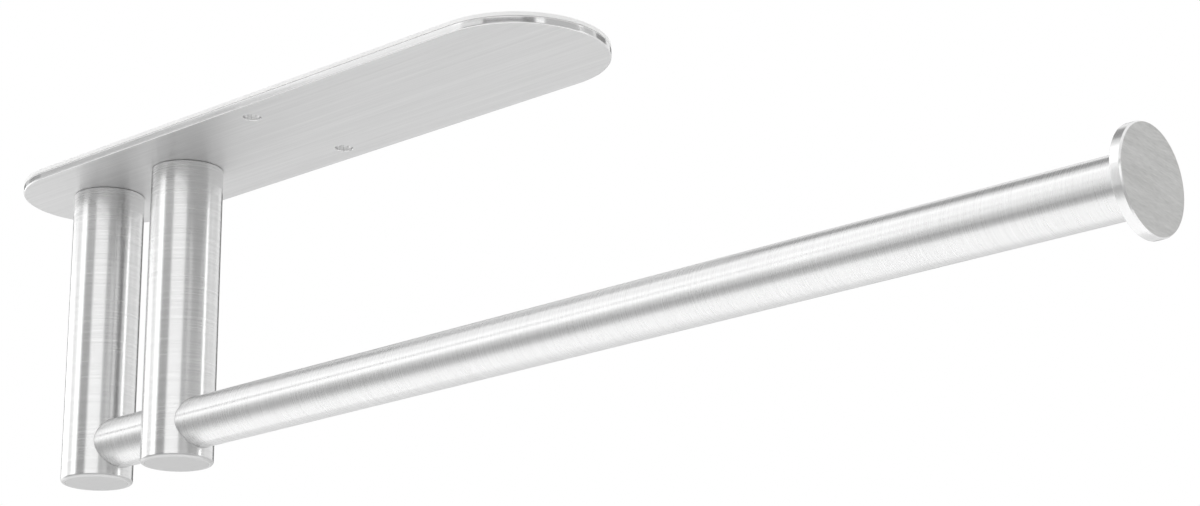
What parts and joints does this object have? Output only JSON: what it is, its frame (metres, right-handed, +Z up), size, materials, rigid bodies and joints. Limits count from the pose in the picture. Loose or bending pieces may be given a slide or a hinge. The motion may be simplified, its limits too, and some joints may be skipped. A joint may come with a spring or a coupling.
{
  "type": "under-cabinet paper towel holder",
  "caption": "Under-cabinet paper towel holder: flat round-ended plate, tubular posts near one end, and a long cantilevered bar with a small end disc, in brushed stainless steel.",
  "frame": {"origin": "centre of the adhesive pad's top face, which meets the underside of the cabinet", "axes": "+Z up, out of the pad's top face into the cabinet; +X along the bar towards its free end; the holder hangs below z = 0 and is mirror-symmetric about y = 0"},
  "size_m": [0.3659, 0.048, 0.0899],
  "materials": {
    "plate_steel": "brushed along the plate's length",
    "post_steel": "brushed around the tube, rounded and polished lower rim",
    "bar_steel": "brushed around the tube",
    "disc_steel": "flat face finely brushed one way, polished rim",
    "turned_steel": "machined, hidden inside the tubes",
    "screw_steel": "plain stainless fastener",
    "pad_foam": "white double-sided acrylic foam"
  },
  "bodies": {
    "root": {"mounting_plate": "plate_steel", "adhesive_pad": "pad_foam", "front_post_tube": "post_steel", "front_post_bottom_plug": "post_steel", "front_post_top_insert": "turned_steel", "front_post_screw": "screw_steel", "front_post_lock_insert": "turned_steel", "front_post_set_screw": "screw_steel", "rear_post_tube": "post_steel", "rear_post_bottom_plug": "post_steel", "rear_post_top_insert": "turned_steel", "rear_post_screw": "screw_steel", "rear_post_lock_insert": "turned_steel", "rear_post_set_screw": "screw_steel", "bar_tube": "bar_steel", "bar_end_insert": "turned_steel", "end_disc": "disc_steel"}
  },
  "joints": []
}
